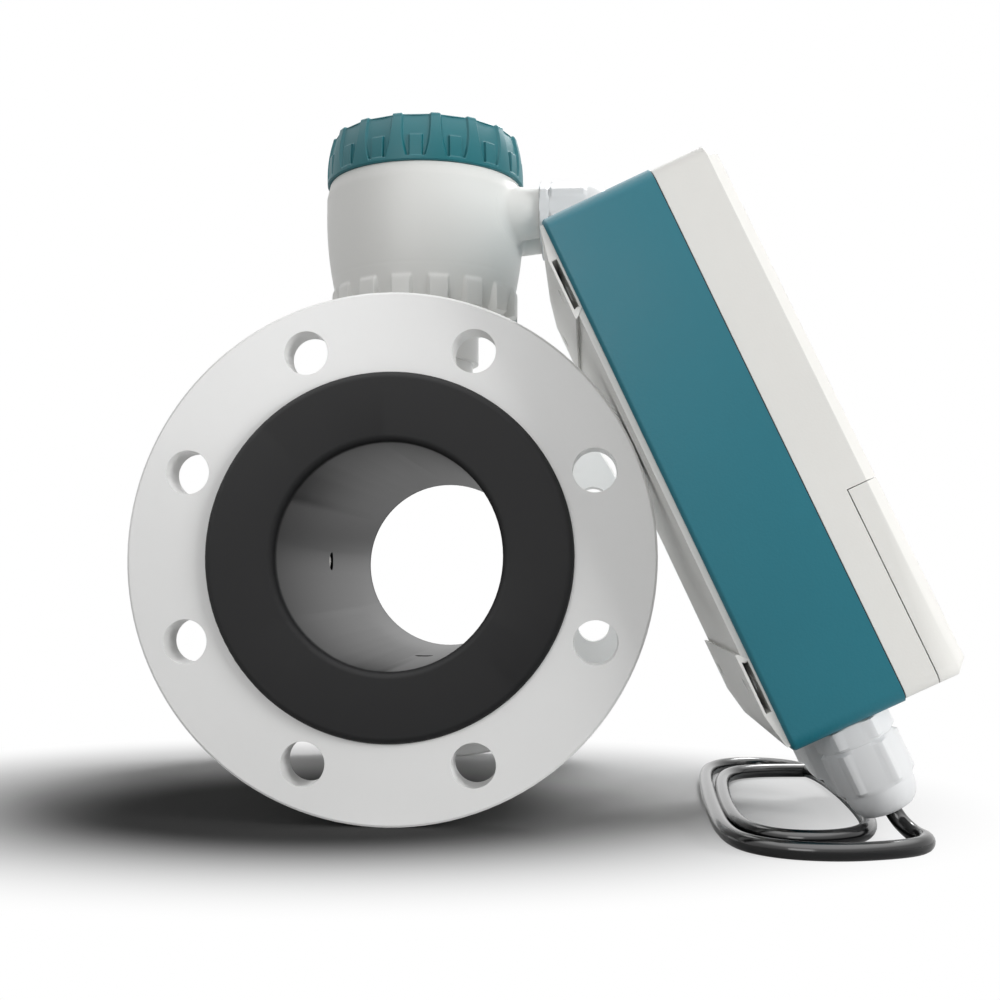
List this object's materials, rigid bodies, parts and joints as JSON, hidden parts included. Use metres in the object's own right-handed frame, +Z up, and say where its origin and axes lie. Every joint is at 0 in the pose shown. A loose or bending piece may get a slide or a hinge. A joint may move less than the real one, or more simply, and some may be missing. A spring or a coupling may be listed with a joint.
{
  "type": "electromagnetic flow meter",
  "caption": "Flanged electromagnetic flow meter with a rubber-lined bore, a round terminal cup with a ribbed screw lid, and a remote transmitter case on a cable, leaning on the flange.",
  "frame": {"origin": "centre of the bore, half way between the two liner faces", "axes": "+Y along the flow from the near flange to the far one, +Z up to the terminal cup, +X towards the leaning transmitter case"},
  "size_m": [0.3512, 0.303, 0.3353],
  "materials": {
    "flange_paint": "satin",
    "steel": "brushed",
    "liner_rubber": "satin",
    "white_plastic": "satin",
    "teal_plastic": "fine moulded grain",
    "lid_plastic": "satin",
    "cover_plastic": "satin",
    "copper": "enamelled wire",
    "core_iron": "bare",
    "seal_rubber": "satin",
    "board_laminate": "satin",
    "black_plastic": "satin",
    "green_plastic": "satin",
    "window_glass": "clear",
    "screen_glass": "gloss",
    "cable_sheath": "gloss"
  },
  "bodies": {
    "meter": {"inlet_flange": "flange_paint", "outlet_flange": "flange_paint", "jacket": "flange_paint", "neck": "flange_paint", "measuring_tube": "steel", "electrode_left": "steel", "electrode_right": "steel", "electrode_ground": "steel", "electrode_nuts": "steel", "cover_screws": "steel", "terminal_cover_screws": "steel", "wall_plate": "steel", "bore_liner": "liner_rubber", "electrode_bushes": "white_plastic", "terminal_cup": "white_plastic", "sensor_gland_front": "white_plastic", "sensor_gland_rear": "white_plastic", "sensor_gland_nut_front": "white_plastic", "sensor_gland_nut_rear": "white_plastic", "case_gland_near": "white_plastic", "case_gland_middle": "white_plastic", "case_gland_far": "white_plastic", "case_gland_nut_near": "white_plastic", "case_gland_nut_middle": "white_plastic", "case_gland_nut_far": "white_plastic", "gland_pins": "white_plastic", "base_housing": "teal_plastic", "front_cover": "cover_plastic", "terminal_cover": "cover_plastic", "coil_top": "copper", "coil_bottom": "copper", "pole_cores": "core_iron", "flux_yoke": "core_iron", "cover_gasket": "seal_rubber", "sensor_gland_seal_front": "seal_rubber", "sensor_gland_seal_rear": "seal_rubber", "case_gland_seal_near": "seal_rubber", "case_gland_seal_middle": "seal_rubber", "case_gland_seal_far": "seal_rubber", "main_board": "board_laminate", "power_board": "board_laminate", "display_board": "board_laminate", "terminal_block": "black_plastic", "key_switches": "black_plastic", "terminal_strip": "green_plastic", "display_window": "window_glass", "display_module": "screen_glass", "sensor_cable": "cable_sheath"},
    "seal_carrier": {"lid_seal": "seal_rubber"},
    "lid": {"lid": "lid_plastic"},
    "key_1": {"key_1": "black_plastic"},
    "key_2": {"key_2": "black_plastic"},
    "key_3": {"key_3": "black_plastic"},
    "key_4": {"key_4": "black_plastic"}
  },
  "joints": [
    {"name": "lid_rise", "type": "slide", "parent": "meter", "child": "seal_carrier", "axis": [0, 0, 1], "range_m": [0, 0.0161]},
    {"name": "lid_turn", "type": "hinge", "parent": "seal_carrier", "child": "lid", "pos_m": [0, 0, 0.2], "axis": [0, 0, 1], "range_deg": [0, 1440]},
    {"name": "key_1_press", "type": "slide", "parent": "meter", "child": "key_1", "axis": [-0.9081, 0, -0.4187], "range_m": [0, 0.0012], "stiffness_N_per_m": 400, "springref_m": -0.001},
    {"name": "key_2_press", "type": "slide", "parent": "meter", "child": "key_2", "axis": [-0.9081, 0, -0.4187], "range_m": [0, 0.0012], "stiffness_N_per_m": 400, "springref_m": -0.001},
    {"name": "key_3_press", "type": "slide", "parent": "meter", "child": "key_3", "axis": [-0.9081, 0, -0.4187], "range_m": [0, 0.0012], "stiffness_N_per_m": 400, "springref_m": -0.001},
    {"name": "key_4_press", "type": "slide", "parent": "meter", "child": "key_4", "axis": [-0.9081, 0, -0.4187], "range_m": [0, 0.0012], "stiffness_N_per_m": 400, "springref_m": -0.001}
  ],
  "couplings": [
    {"joint": "lid_rise", "follows": "lid_turn", "m_per_rad": 0.000636}
  ]
}
